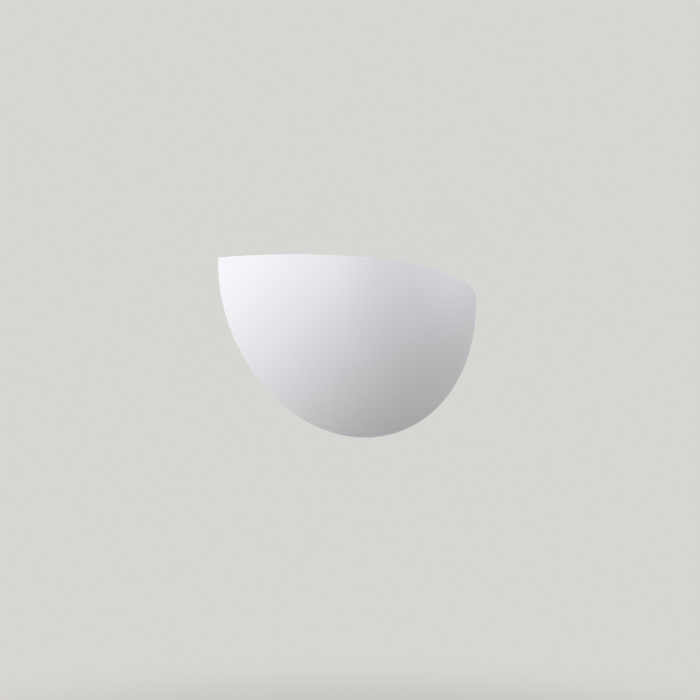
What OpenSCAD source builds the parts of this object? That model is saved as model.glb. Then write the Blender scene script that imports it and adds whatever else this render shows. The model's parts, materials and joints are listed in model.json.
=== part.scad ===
// Half-dome uplighter for a wall, in millimetres.
// The wall is the plane y = 0 and the light stands in front of it, towards -Y.
// The origin is the middle of the two wall fixings. Z is up, X runs along the wall.
// Depths that are called "out" are distances from the wall, and "drops" are distances under the rim.

/* [Shade] */
// Radius of the back edge, half the width of the light
shade_r = 150; // [144:1:165]
// Depth of the dome in front of its back edge
shade_depth = 78; // [74:1:90]
// Radius of the crown, the middle of the dome
crown_r = 168; // [160:1:180]
// Angle from the middle of the dome at which the crown meets the flatter skirt
crown_angle = 28; // [22:1:32]
// Sheet thickness of the shade
shade_wall = 1.5; // [1:0.1:2]
// Gap between the back edge and the wall
wall_gap = 18; // [16:0.5:24]
// Width of the hem turned in at the back edge
hem_w = 14; // [11:0.5:16]

/* [Hanging] */
// Height of the rim over the wall fixings
rim_above_fixing = 62; // [58:1:70]
// Distance of the lock screws from the shade's corner
lock_inset = 34; // [32:0.5:36]
// Drop of the lock screws under the rim
lock_drop = 22; // [20:0.5:24]
// Radius of a lock screw's shank
lock_shank_r = 2; // [1.75:0.25:2.5]
// Radius of a lock screw's knurled head
lock_head_r = 6; // [5:0.25:6.5]
// Length of the knurled head
lock_head_l = 8; // [6:0.5:10]
// Sheet thickness of the hanger plates
hanger_wall = 1.5; // [1.2:0.1:2]
// Half width of a hanger plate on its inner side, and its height below the screw
hanger_reach = 12; // [10:0.5:13]
// How far a hanger's notch runs down under the screw
notch_l = 16; // [14:0.5:17]

/* [Wall pan] */
// How far the pan's side stands in from the shade's back edge
pan_inset = 8; // [7:0.5:9]
// Drop of the pan's top edge under the rim
pan_drop = 5; // [4:0.5:7]
// Sheet thickness of the pan
pan_wall = 1.2; // [1:0.1:1.6]
// Outside radius of the bend between the pan's back and side
pan_bend_r = 3; // [2:0.5:5]
// Distance between the two wall fixing slots
fixing_spacing = 120; // [110:1:130]
// End-to-end length of a fixing slot
slot_l = 14; // [10:0.5:16]
// Width of a fixing slot
slot_w = 5.2; // [4.2:0.1:6.2]
// Radius of the raised field round the cable entry
entry_field_r = 20; // [16:0.5:22]
// Height of the raised field
entry_field_h = 3; // [2.6:0.1:4]
// Radius of the cable entry hole
entry_hole_r = 7; // [6.5:0.1:8]
// Radius of the hole through the cable grommet
grommet_bore_r = 4.5; // [3.5:0.1:5]

/* [Cover] */
// Sheet thickness of the cover plate
cover_wall = 1.2; // [1:0.1:1.6]
// Gap between the cover plate and the shade's hem
hem_clear = 0.8; // [0.6:0.1:1.2]
// Distance of the two upper cover screws from the middle
cover_screw_x = 104; // [100:1:108]
// Drop of the upper cover screws under the rim
cover_screw_drop = 52; // [50:1:56]
// Distance of the two lower cover screws from the middle
low_screw_x = 52; // [48:1:54]
// Distance of the lower cover screws above the pan's lower edge
low_screw_above_edge = 46; // [44:1:48]
// Width across the flats of the cover's hexagon pillars
pillar_flats = 7; // [6:0.5:8]

/* [Lamp] */
// Length of the linear lamp between its two contacts
lamp_l = 114.2; // [110:0.1:118]
// Distance of the lamp's axis in front of the wall
lamp_out = 44; // [43:0.5:45]
// Drop of the lamp's axis under the rim
lamp_drop = 24; // [23:0.5:26]
// Radius of the quartz tube
tube_r = 5; // [4:0.25:6]
// Wall of the quartz tube
tube_wall = 1; // [0.8:0.1:1.3]
// Length of a flat pinch at each end of the tube
pinch_l = 9; // [8:0.5:10]
// Radius of the ceramic end caps
cap_r = 3.5; // [3.2:0.1:3.8]
// Depth of the recess that holds each lamp contact
recess = 1.7; // [1.5:0.1:2]
// How far the lamp can be pushed against its sprung contact
push = 3.5; // [3:0.1:3.8]

/* [Lampholders] */
// Radius of the ceramic body
holder_r = 8; // [7.5:0.25:9]
// Length of the ceramic body
holder_l = 20.7; // [20.2:0.1:22]
// Radius of the cup
cup_r = 4.6; // [4.4:0.1:5]
// Radius of the contact pins
pin_r = 1.6; // [1.4:0.1:1.7]
// Radius of the spring chamber
chamber_r = 3.4; // [3.2:0.1:3.8]
// Wire diameter of the contact spring
spring_wire = 0.5; // [0.4:0.05:0.6]
// Number of turns of the contact spring
spring_turns = 5; // [4:1:6]

/* [Reflector and glass] */
// Inside width of the reflector trough
trough_w = 36; // [34:1:38]
// Width of the trough's flat floor
floor_w = 16; // [14:1:18]
// Depth of the floor below the lamp's axis
floor_depth = 17.2; // [15.5:0.1:18]
// Depth below the lamp's axis at which the walls turn in
knee_depth = 6; // [5:0.5:8]
// Height of the glass seat above the lamp's axis
seat_height = 14.8; // [14:0.1:16]
// Width of the lips that the glass lies on
lip_w = 5.8; // [5:0.1:6]
// Height of the turned-up edges beside the glass
lip_up = 3; // [2.5:0.1:4]
// Sheet thickness of the reflector
reflector_wall = 0.8; // [0.6:0.1:1]
// Thickness of the protective glass
glass_t = 3; // [2.5:0.1:4]
// Sheet thickness of the lamp bracket
bracket_wall = 1.5; // [1.2:0.1:2]
// Width of the bracket's upright ears
ear_w = 18; // [17:0.5:19]

/* [Terminals and leads] */
// Distance between the poles of the terminal block
pole_pitch = 10; // [9.5:0.5:11]
// Length of the terminal block along its tubes
block_l = 17; // [15:0.5:20]
// Height of the terminal block over the pan
block_h = 11; // [10:0.5:11.5]
// Distance of the terminal block's middle above the pan's lower edge
block_above_edge = 36; // [34:1:38]
// Distance of the earth screw above the pan's lower edge
earth_above_edge = 9; // [8:0.5:10]
// Diameter of an insulated lead
lead_d = 2.2; // [1.8:0.1:2.4]
// Distance of the lead bushes from the middle
bush_x = 84; // [80:1:88]
// Distance of the lead bushes below the cable entry
bush_below = 15; // [12:1:18]

/* [Fits] */
// Gap at a seat between pieces that come apart
seat_clear = 0.3; // [0.2:0.05:0.4]
// Radial gap of a running fit
run_clear = 0.06; // [0.03:0.01:0.1]
// Radial gap round a screw in a clearance hole
screw_clear = 0.25; // [0.15:0.05:0.4]
// Gap round pieces that are pushed or pressed in
press_clear = 0.05; // [0.02:0.01:0.1]

/* [Hidden] */
$fn = 72;
far = 2 * shade_r;
cut = 1;

// Heights and distances from the wall that several pieces share
rim_z = rim_above_fixing;
hem_out = wall_gap;
cover_front = wall_gap - hem_clear;
cover_back = cover_front - cover_wall;
hanger_back = wall_gap + shade_wall;
hanger_front = hanger_back + hanger_wall;
pan_r = shade_r - pan_inset;
pan_top = rim_z - pan_drop;
lock_x = shade_r - lock_inset;
lock_z = rim_z - lock_drop;
lamp_z = rim_z - lamp_drop;

// The dome's two arcs: the crown's centre lies on the axis, and the skirt's arc passes through the
// back edge and meets the crown without a kink
crown_centre = [0, shade_depth - crown_r];
to_edge = [shade_r, 0] - crown_centre;
crown_dir = [sin(crown_angle), cos(crown_angle)];
skirt_extra = (to_edge * to_edge - crown_r * crown_r) / (2 * (crown_r - to_edge * crown_dir));
skirt_r = crown_r + skirt_extra;
skirt_centre = crown_centre - skirt_extra * crown_dir;
// Radius of the dome's inner face at a distance in front of the back edge
function inner_r(y) = skirt_centre[0] + sqrt(pow(skirt_r - shade_wall, 2) - pow(y - skirt_centre[1], 2));

// Hanger plates and lock screws
hanger_r = inner_r(shade_wall + hanger_wall) - cut;
hanger_top = pan_drop + 1;
nut_flange_t = hanger_back - cover_front - seat_clear;
nut_flange_r = 5.5;
nut_barrel_r = 3.5;
nut_barrel_l = 6;
lock_tip = 7;
lock_collar_l = 2;
knurl_teeth = 28;
knurl_depth = 0.5;

// Lamp and lampholders, as distances from the middle along X
lamp_half = lamp_l / 2;
cap_end = lamp_half + recess;
cap_nose_l = 6.5;
cap_body_l = 8;
cap_body_w = 9;
cap_body_t = 5;
pinch_w = 8;
pinch_t = 2.2;
cap_start = cap_end - cap_nose_l - cap_body_l;
pinch_end = cap_end - cap_nose_l - 0.5;
tube_end = pinch_end - pinch_l;
pinch_root = tube_wall - 0.1;
foil_w = 3;
foil_t = 0.4;
foil_start = tube_wall + 0.2;
pip_r = 1.2;
pip_h = 1.2;
cap_hold = 2.5;
push_spare = 0.7;
cup_depth = cap_hold + push + push_spare;
holder_face = cap_end - cap_hold;
cup_end = holder_face + cup_depth;
holder_end = holder_face + holder_l;
cup_floor = 2;
end_wall = 2;
chamber_start = cup_end + cup_floor;
chamber_end = holder_end - end_wall;
tail_r = 1.2;
tail_l = 5;
collar_r = chamber_r - 0.3;
collar_t = 1.2;
holder_foot_w = 10;
holder_foot_l = 8;
holder_foot_drop = 14;
holder_screw_drop = 10.5;
holder_screw_r = 1.5;

// Reflector, bracket and glass
seat_z = lamp_z + seat_height;
floor_z = lamp_z - floor_depth;
knee_z = lamp_z - knee_depth;
shelf_top = floor_z - reflector_wall;
trough_end = holder_face - 2.3;
glass_half = trough_end - 1.5;
glass_w = trough_w + 2 * (lip_w - seat_clear);
lamp_slot_r = 6;
clip_t = 0.5;
clip_w = 8;
clip_from_lamp = 12;
clip_rivet_drop = 4;
rivet_r = 1.4;
rivet_x = 30;
bracket_flange_h = 18.5;
bracket_flange_half = 60;
bracket_screw_x = 45;
bracket_screw_drop = 9.5;
shelf_out = lamp_out + 14;
m3 = 1.5;
m4 = 2;
m4_head_r = 3.8;
m4_head_h = 2.4;
m4_screw_l = 8;
m4_short_l = 4.5;
m4_nut_flats = 7;
m4_nut_t = 3.2;
holder_screw_head_r = 2.8;
holder_screw_head_h = 1.8;
holder_screw_grip = 5;
rivet_head_r = 2.8;
rivet_head_h = 1.4;
rivet_tail_r = 2.2;
rivet_tail_h = 1.2;
clip_rivet_r = 1;
clip_rivet_head_r = 2;
clip_rivet_head_h = 1;

// Terminals, earth and leads
block_z = rim_z - pan_r + block_above_edge;
block_bottom = block_z - block_l / 2;
insert_r = 2.3;
insert_bore_r = 1.7;
insert_out = 5.6;
clamp_r = 1.4;
clamp_from_middle = 4.2;
earth_z = rim_z - pan_r + earth_above_edge;
earth_boss_r = 4.2;
earth_boss_h = 4;
lead_end_up = 2;

// A flat piece: its outline is drawn in X and Z, and it starts at a distance from the wall
module sheet(out, t) translate([0, -out, 0]) rotate([90, 0, 0]) linear_extrude(t) children();
// A section drawn as distance from the wall and height, run from x0 to x1
module section(x0, x1) translate([(x0 + x1) / 2, 0, 0]) rotate([90, 0, -90])
    linear_extrude(x1 - x0, center = true) children();
// Round bars along X and away from the wall
module rod_x(x0, x1, r, out, z) translate([x0, -out, z]) rotate([0, 90, 0]) cylinder(h = x1 - x0, r = r);
module rod_out(x, z, out0, out1, r)
    translate([x, -out0, z]) rotate([90, 0, 0]) cylinder(h = out1 - out0, r = r);
// Half a turned piece, open side up, with its axis square to the wall at rim height
module half_turn() translate([0, 0, rim_z]) rotate([90, 0, 0]) rotate([0, 0, 180])
    rotate_extrude(angle = 180) children();
module mirrored() mirror([1, 0, 0]) children();
module both_sides() {
    children();
    mirrored() children();
}

// Rectangle with true round corners
module round_rect(size, r) {
    translate([r, 0]) square([size[0] - 2 * r, size[1]]);
    translate([0, r]) square([size[0], size[1] - 2 * r]);
    for (x = [r, size[0] - r]) for (y = [r, size[1] - r]) translate([x, y]) circle(r);
}

// Outline of a bent strip: a path and the same path moved sideways by the sheet's thickness
function unit(v) = v / norm(v);
function left_of(v) = [-v[1], v[0]];
function side_dir(path, i) = left_of(unit(path[i + 1] - path[i]));
function mitre(path, i, t) =
    let (last = len(path) - 1, a = side_dir(path, max(i - 1, 0)), b = side_dir(path, min(i, last - 1)))
    path[i] + t * (a + b) / (1 + a * b);
function strip(path, t) = concat(path, [for (i = [len(path) - 1 : -1 : 0]) mitre(path, i, t)]);

// Smooth route through hand-chosen points, and a round tube along it
function blend(a, b, c, d, t) =
    0.5 * (2 * b + (c - a) * t + (2 * a - 5 * b + 4 * c - d) * t * t + (3 * b - a - 3 * c + d) * t * t * t);
function route(p, steps) = concat(
    [for (i = [0 : len(p) - 2]) for (s = [0 : steps - 1])
        blend(p[max(i - 1, 0)], p[i], p[i + 1], p[min(i + 2, len(p) - 1)], s / steps)],
    [p[len(p) - 1]]);
function heading(p, i) = unit(p[min(i + 1, len(p) - 1)] - p[max(i - 1, 0)]);
function turned(u, t) = unit(u - (u * t) * t);
function frames(p, first) =
    [for (i = 0, u = turned(first, heading(p, 0)); i < len(p);
        i = i + 1, u = turned(u, heading(p, min(i, len(p) - 1)))) u];
function ring(centre, t, u, r, sides) =
    [for (k = [0 : sides - 1]) centre + r * (cos(360 * k / sides) * u + sin(360 * k / sides) * cross(t, u))];
module tube(p, d, sides, first) {
    n = len(p);
    u = frames(p, first);
    points = [for (i = [0 : n - 1]) each ring(p[i], heading(p, i), u[i], d / 2, sides)];
    walls = [for (i = [0 : n - 2]) for (k = [0 : sides - 1])
        let (a = i * sides + k, b = i * sides + (k + 1) % sides)
        each [[a, a + sides, b + sides], [a, b + sides, b]]];
    start = [for (k = [1 : sides - 2]) [0, k, k + 1]];
    base = (n - 1) * sides;
    finish = [for (k = [1 : sides - 2]) [base, base + k + 1, base + k]];
    polyhedron(points, concat(walls, start, finish));
}

// Width of a screw's driver slot, and its depth as a share of the head's height
driver_slot_w = 0.8;
driver_slot_depth = 0.45;
// Pan-head screw that points into the wall: seat is the distance of its head's seat from the wall
module pan_screw(x, z, seat, l, r, head_r, head_h) {
    rod_out(x, z, seat - l, seat + head_h / 2, r);
    difference() {
        translate([x, -seat, z]) rotate([90, 0, 0]) pan_head(head_r, head_h);
        translate([x - driver_slot_w / 2, -seat - head_h - cut, z - head_r - cut])
            cube([driver_slot_w, driver_slot_depth * head_h + cut, 2 * (head_r + cut)]);
    }
}
// Head with a flat seat, a short straight side and a rounded top
module pan_head(r, h) {
    dome = (r * r + h * h / 4) / h;
    cylinder(h = h / 2, r = r);
    intersection() {
        cylinder(h = h, r = r);
        translate([0, 0, h - dome]) sphere(dome);
    }
}

// ---- Shade ----
// The wider of the two arcs bounds only its own field, and the other one fills the rest
module field(centre, directions) translate(centre) polygon(far * concat([[0, 0]], directions));
module dome_profile(inset) {
    intersection() {
        if (skirt_extra > 0) {
            translate(crown_centre) circle(crown_r - inset);
            intersection() {
                translate(skirt_centre) circle(skirt_r - inset);
                field(skirt_centre, [3 * crown_dir, [3, 3], [3, -1]]);
            }
        } else {
            translate(skirt_centre) circle(skirt_r - inset);
            intersection() {
                translate(crown_centre) circle(crown_r - inset);
                field(crown_centre, [[0, 3], 3 * crown_dir]);
            }
        }
        square([shade_r, shade_depth]);
    }
}
module shade() {
    color("white") half_turn() translate([0, hem_out]) {
        difference() {
            dome_profile(0);
            dome_profile(shade_wall);
        }
        intersection() {
            dome_profile(0);
            translate([shade_r - hem_w, 0]) square([hem_w, shade_wall]);
        }
    }
}

// ---- Hanging ----
module hanger() {
    color("gainsboro") sheet(hanger_back, hanger_wall) translate([0, rim_z]) difference() {
        intersection() {
            circle(hanger_r);
            translate([lock_x - hanger_reach, -lock_drop - notch_l])
                round_rect([far / 2, lock_drop + notch_l - hanger_top], 3);
        }
        translate([lock_x, -lock_drop]) circle(lock_shank_r + screw_clear);
        translate([lock_x - lock_shank_r - screw_clear, -lock_drop - notch_l - cut])
            square([2 * (lock_shank_r + screw_clear), notch_l + cut]);
    }
}
module hanger_right() hanger();
module hanger_left() mirrored() hanger();

function knurl(r) = [for (i = [0 : 2 * knurl_teeth - 1])
    (r - (i % 2) * knurl_depth) * [cos(180 * i / knurl_teeth), sin(180 * i / knurl_teeth)]];
module lock_screw() {
    head_out = hanger_front + seat_clear;
    color("silver") {
        rod_out(lock_x, lock_z, lock_tip, head_out + cut, lock_shank_r);
        rod_out(lock_x, lock_z, head_out, head_out + lock_collar_l, lock_head_r - 1);
        difference() {
            translate([lock_x, 0, lock_z]) sheet(head_out + lock_collar_l, lock_head_l) polygon(knurl(lock_head_r));
            rod_out(lock_x, lock_z, head_out + lock_collar_l + lock_head_l - 1, far, lock_head_r - 2);
        }
    }
}
module lock_screw_right() lock_screw();
module lock_screw_left() mirrored() lock_screw();
module lock_nuts() {
    color("darkgray") both_sides() difference() {
        union() {
            rod_out(lock_x, lock_z, cover_front, cover_front + nut_flange_t, nut_flange_r);
            rod_out(lock_x, lock_z, cover_back - nut_barrel_l, cover_front, nut_barrel_r);
        }
        rod_out(lock_x, lock_z, 0, far, lock_shank_r + run_clear);
    }
}

// ---- Wall pan and cover ----
module pan_profile(inset) {
    r = pan_r - inset;
    bend = pan_bend_r - inset;
    translate([0, inset]) {
        square([r - bend, cover_back]);
        translate([0, bend]) square([r, cover_back - bend]);
        translate([r - bend, bend]) circle(bend);
    }
}
module below(z) translate([-far, -far, z - far]) cube([2 * far, 2 * far, far]);
module pan_body(inset) {
    intersection() {
        half_turn() intersection() {
            pan_profile(inset);
            square([far, cover_back + (inset > 0 ? cut : 0)]);
        }
        below(pan_top - inset);
    }
}
module fixing_slots() both_sides() sheet(-cut, entry_field_h + 2 * cut) {
    translate([fixing_spacing / 2, 0]) square([slot_l - slot_w, slot_w], center = true);
    for (s = [-1, 1]) translate([fixing_spacing / 2 + s * (slot_l - slot_w) / 2, 0]) circle(slot_w / 2);
}
module wall_pan() {
    color("white") difference() {
        union() {
            difference() {
                pan_body(0);
                pan_body(pan_wall);
            }
            rod_out(0, 0, 0, entry_field_h + pan_wall, entry_field_r);
            rod_out(0, earth_z, 0, pan_wall + earth_boss_h, earth_boss_r);
            for (s = [-1, 1]) rod_out(s * pole_pitch / 2, block_z, 0, pan_wall + 1, 3);
        }
        rod_out(0, 0, -cut, entry_field_h, entry_field_r - pan_wall);
        rod_out(0, 0, 0, far, entry_hole_r);
        fixing_slots();
        rod_out(0, earth_z, pan_wall, far, m4 + run_clear);
        for (s = [-1, 1]) rod_out(s * pole_pitch / 2, block_z, 0.4, far, m3 + run_clear);
    }
}
low_screw_z = rim_z - pan_r + low_screw_above_edge;
function cover_points() = [[cover_screw_x, rim_z - cover_screw_drop], [low_screw_x, low_screw_z]];
module cover_spacers() {
    color("silver") both_sides() for (p = cover_points()) difference() {
        translate([p[0], 0, p[1]]) sheet(pan_wall, cover_back - pan_wall) circle(r = pillar_flats / sqrt(3), $fn = 6);
        rod_out(p[0], p[1], cover_back - 9, far, m4 + run_clear);
    }
}
module cover_plate() {
    color("white") difference() {
        intersection() {
            half_turn() translate([0, cover_back]) square([pan_r, cover_wall]);
            below(pan_top);
        }
        both_sides() {
            for (p = cover_points()) rod_out(p[0], p[1], 0, far, m4 + screw_clear);
            rod_out(lock_x, lock_z, 0, far, nut_barrel_r + press_clear);
            rod_out(bracket_screw_x, shelf_top - bracket_screw_drop, 0, far, m4 + screw_clear);
            rod_out(bush_x, -bush_below, 0, far, bush_hole_r);
        }
    }
}
module cover_screws() {
    color("silver") both_sides() for (p = cover_points())
        pan_screw(p[0], p[1], cover_front, m4_screw_l, m4, m4_head_r, m4_head_h);
}
grommet_flange_r = entry_hole_r + 3;
grommet_flange_t = 2;
grommet_back = entry_field_h - press_clear - grommet_flange_t;
grommet_front = entry_field_h + pan_wall + press_clear;
module cable_grommet() {
    color("dimgray") difference() {
        union() {
            rod_out(0, 0, grommet_back, grommet_front + grommet_flange_t, entry_hole_r - press_clear);
            rod_out(0, 0, grommet_back, grommet_back + grommet_flange_t, grommet_flange_r);
            rod_out(0, 0, grommet_front, grommet_front + grommet_flange_t, grommet_flange_r);
        }
        rod_out(0, 0, -cut, far, grommet_bore_r);
    }
}

// ---- Terminals and leads ----
poles = [-pole_pitch, 0, pole_pitch];
block_seat = pan_wall + 1;
block_floor = 3;
block_head_r = 2;
module bar_z(x, z0, z1, r, out) translate([x, -out, z0]) cylinder(h = z1 - z0, r = r);
module terminal_block() {
    color("ivory") difference() {
        union() {
            translate([0, 0, block_z]) sheet(block_seat, block_floor)
                translate([-1.5 * pole_pitch, -block_l / 2]) round_rect([3 * pole_pitch, block_l], 1.5);
            for (x = poles) {
                bar_z(x, block_z - block_l / 2, block_z + block_l / 2, insert_r + 1.2, insert_out);
                for (s = [-1, 1]) rod_out(x, block_z + s * clamp_from_middle, insert_out, block_h + 1, clamp_r + 1.1);
            }
        }
        for (x = poles) {
            bar_z(x, block_z - far, block_z + far, insert_r + press_clear, insert_out);
            for (s = [-1, 1]) rod_out(x, block_z + s * clamp_from_middle, insert_out, far, clamp_r + screw_clear);
        }
        for (s = [-1, 1]) {
            rod_out(s * pole_pitch / 2, block_z, 0, far, m3 + screw_clear);
            rod_out(s * pole_pitch / 2, block_z, block_seat + block_floor, far, block_head_r + screw_clear);
        }
    }
}
module terminal_tubes() {
    color("goldenrod") for (x = poles) difference() {
        bar_z(x, block_z - block_l / 2 + 1, block_z + block_l / 2 - 1, insert_r, insert_out);
        bar_z(x, block_z - far, block_z + far, insert_bore_r, insert_out);
        for (s = [-1, 1]) rod_out(x, block_z + s * clamp_from_middle, insert_out, far, clamp_r + run_clear);
    }
}
module clamp_screws() {
    color("silver") for (x = poles) for (s = [-1, 1]) difference() {
        rod_out(x, block_z + s * clamp_from_middle, insert_out + lead_core_r + 0.1, block_h, clamp_r);
        translate([x - clamp_r, -block_h - cut, block_z + s * clamp_from_middle - 0.25])
            cube([2 * clamp_r, 1.8, 0.5]);
    }
}
module block_screws() {
    color("silver") for (s = [-1, 1]) pan_screw(s * pole_pitch / 2, block_z, block_seat + block_floor, 4.5, m3,
        block_head_r, 1.6);
}
tag_t = 0.8;
tag_out = pan_wall + earth_boss_h;
module earth_screw() {
    color("goldenrod") pan_screw(0, earth_z, tag_out + tag_t, m4_short_l, m4, m4_head_r, m4_head_h);
}
tag_barrel_z = earth_z + 7.4;
module earth_tag() {
    color("silver") difference() {
        union() {
            translate([0, 0, earth_z]) sheet(tag_out, tag_t) {
                circle(4);
                translate([-1.5, 0]) square([3, 8]);
            }
            bar_z(0, tag_barrel_z, tag_barrel_z + 4, lead_d / 2 + 0.5, tag_out + lead_d / 2 + 0.5);
        }
        rod_out(0, earth_z, 0, far, m4 + screw_clear);
        bar_z(0, tag_barrel_z + 0.6, far, lead_d / 2, tag_out + lead_d / 2 + 0.5);
    }
}
lead_core_r = 0.9;
bush_hole_r = 4;
bush_bore_r = lead_d / 2 + 0.4;
bush_flange_r = bush_hole_r + 1.4;
bush_flange_t = 1.4;
module lead_bushes() {
    color("whitesmoke") both_sides() difference() {
        union() {
            rod_out(bush_x, -bush_below, cover_back - bush_flange_t, cover_front + bush_flange_t,
                bush_hole_r - press_clear);
            for (out = [cover_back - press_clear - bush_flange_t, cover_front + press_clear])
                rod_out(bush_x, -bush_below, out, out + bush_flange_t, bush_flange_r);
        }
        rod_out(bush_x, -bush_below, 0, far, bush_bore_r);
    }
}
// Routes of the right lead and the earth lead: x, distance from the wall, z
tail_end = holder_end + bracket_wall + 2.4;
lamp_lead_route = [
    [pole_pitch, insert_out, block_bottom + lead_end_up], [pole_pitch, insert_out, block_bottom - 2],
    [14, 6, block_bottom - 5], [26, 7, block_bottom - 5], [42, 7, block_bottom + 2],
    [low_screw_x + 8, 7, low_screw_z - 4], [bush_x - 10, 7, -bush_below - 12],
    [bush_x - 2, 8.5, -bush_below - 3], [bush_x, 13, -bush_below], [bush_x, 20, -bush_below],
    [bush_x + 1, 27, -bush_below + 4], [91, 34, 4], [95, 40, 18], [96, lamp_out - 1, lamp_z - 8],
    [93, lamp_out, lamp_z - 1], [tail_end + 9, lamp_out, lamp_z], [tail_end + 6, lamp_out, lamp_z],
    [tail_end + 3, lamp_out, lamp_z], [tail_end + press_clear, lamp_out, lamp_z]];
earth_lead_route = [
    [0, insert_out, block_bottom + lead_end_up], [0, insert_out, block_bottom - 2],
    [0, insert_out + 0.6, block_bottom - 3.5],
    [0, tag_out + lead_d / 2 + 0.5, tag_barrel_z + 6.5], [0, tag_out + lead_d / 2 + 0.5, tag_barrel_z + 4.2],
    [0, tag_out + lead_d / 2 + 0.5, tag_barrel_z + 1]];
function placed(p) = [for (q = p) [q[0], -q[1], q[2]]];
module lamp_lead() tube(route(placed(lamp_lead_route), 2), lead_d - 2 * press_clear, 8, [0, 1, 0]);
module lead_neutral() color("lightsteelblue") lamp_lead();
module lead_live() color("tan") mirrored() lamp_lead();
module lead_earth() color("yellowgreen")
    tube(route(placed(earth_lead_route), 3), lead_d - 2 * press_clear, 8, [1, 0, 0]);
module lead_crimps() {
    color("silver") both_sides() difference() {
        rod_x(tail_end - 2, tail_end + 4, lead_d / 2 + 0.5, lamp_out, lamp_z);
        rod_x(tail_end, far, lead_d / 2, lamp_out, lamp_z);
        rod_x(0, tail_end + cut, tail_r + press_clear, lamp_out, lamp_z);
    }
}

// ---- Lamp bracket ----
ear_in = holder_end;
module ear() difference() {
    section(ear_in, ear_in + bracket_wall) {
        translate([lamp_out - ear_w / 2, shelf_top - bracket_wall])
            square([ear_w, lamp_z - shelf_top + bracket_wall]);
        translate([lamp_out, lamp_z]) circle(ear_w / 2);
    }
    rod_x(0, far, 3, lamp_out, lamp_z);
    rod_x(0, far, holder_screw_r + screw_clear, lamp_out, lamp_z - holder_screw_drop);
}
module lamp_bracket() {
    color("lightgray") difference() {
        union() {
            sheet(cover_front, bracket_wall) translate([-bracket_flange_half, shelf_top - bracket_flange_h])
                round_rect([2 * bracket_flange_half, bracket_flange_h], 3);
            translate([0, 0, shelf_top - bracket_wall]) linear_extrude(bracket_wall) {
                translate([-trough_end, -shelf_out]) square([2 * trough_end, shelf_out - cover_front]);
                translate([-ear_in - bracket_wall, -lamp_out - ear_w / 2])
                    square([2 * (ear_in + bracket_wall), ear_w]);
            }
            both_sides() ear();
        }
        both_sides() {
            rod_out(bracket_screw_x, shelf_top - bracket_screw_drop, 0, far, m4 + screw_clear);
            translate([rivet_x, -lamp_out, 0]) translate([0, 0, shelf_top - 2 * bracket_wall])
                cylinder(h = 3 * bracket_wall, r = rivet_r + screw_clear);
        }
    }
}
module bracket_screws() {
    color("silver") both_sides()
        pan_screw(bracket_screw_x, shelf_top - bracket_screw_drop, cover_front + bracket_wall, m4_screw_l, m4,
            m4_head_r, m4_head_h);
}
module bracket_nuts() {
    color("silver") both_sides() difference() {
        translate([bracket_screw_x, 0, shelf_top - bracket_screw_drop]) sheet(cover_back - m4_nut_t, m4_nut_t)
            circle(r = m4_nut_flats / sqrt(3), $fn = 6);
        rod_out(bracket_screw_x, shelf_top - bracket_screw_drop, 0, far, m4 + run_clear);
    }
}

// ---- Reflector and glass ----
half_w = trough_w / 2;
trough_path = [
    [lamp_out - half_w - lip_w, seat_z + lip_up], [lamp_out - half_w - lip_w, seat_z],
    [lamp_out - half_w, seat_z], [lamp_out - half_w, knee_z],
    [lamp_out - floor_w / 2, floor_z], [lamp_out + floor_w / 2, floor_z],
    [lamp_out + half_w, knee_z], [lamp_out + half_w, seat_z],
    [lamp_out + half_w + lip_w, seat_z], [lamp_out + half_w + lip_w, seat_z + lip_up]];
cheek_outline = [for (i = [2 : 7]) trough_path[i]];
module reflector() {
    color("silver") difference() {
        union() {
            section(-trough_end, trough_end) polygon(strip(trough_path, -reflector_wall));
            both_sides() section(trough_end - reflector_wall, trough_end) difference() {
                polygon(cheek_outline);
                translate([lamp_out, lamp_z]) circle(lamp_slot_r);
                translate([lamp_out - lamp_slot_r, lamp_z]) square([2 * lamp_slot_r, far]);
            }
        }
        both_sides() {
            translate([rivet_x, -lamp_out, shelf_top - cut]) cylinder(h = 3, r = rivet_r + screw_clear);
            rod_x(0, far, clip_rivet_r + screw_clear, lamp_out - clip_from_lamp, lamp_z - clip_rivet_drop);
        }
    }
}
module reflector_rivets() {
    color("silver") both_sides() translate([rivet_x, -lamp_out, 0]) {
        translate([0, 0, floor_z]) pan_head(rivet_head_r, rivet_head_h);
        translate([0, 0, shelf_top - bracket_wall - rivet_tail_h]) {
            cylinder(h = rivet_tail_h, r = rivet_tail_r);
            cylinder(h = rivet_tail_h + bracket_wall + reflector_wall + rivet_head_h / 2, r = rivet_r);
        }
    }
}
module glass_cover() {
    color("lightcyan") translate([-glass_half, -lamp_out - glass_w / 2, seat_z + seat_clear])
        linear_extrude(glass_t) round_rect([2 * glass_half, glass_w], 1.5);
}
clip_x = trough_end + press_clear + clip_t;
glass_touch = glass_half + seat_clear + clip_t;
module glass_clip() {
    path = [[clip_x, lamp_z - clip_rivet_drop - 4], [clip_x, seat_z + clip_t], [glass_touch, seat_z + 1.6],
        [glass_touch, seat_z + glass_t], [glass_touch + 2.4, seat_z + glass_t + 4]];
    color("silver") difference() {
        sheet(lamp_out - clip_from_lamp - clip_w / 2, clip_w) polygon(strip(path, clip_t));
        rod_x(0, far, clip_rivet_r + screw_clear, lamp_out - clip_from_lamp, lamp_z - clip_rivet_drop);
    }
}
module glass_clip_right() glass_clip();
module glass_clip_left() mirrored() glass_clip();
module clip_rivets() {
    color("silver") both_sides() {
        for (x = [trough_end - reflector_wall - clip_rivet_head_h, clip_x])
            rod_x(x, x + clip_rivet_head_h, clip_rivet_head_r, lamp_out - clip_from_lamp, lamp_z - clip_rivet_drop);
        rod_x(trough_end - reflector_wall - clip_rivet_head_h / 2, clip_x + clip_rivet_head_h / 2, clip_rivet_r,
            lamp_out - clip_from_lamp, lamp_z - clip_rivet_drop);
    }
}

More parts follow.
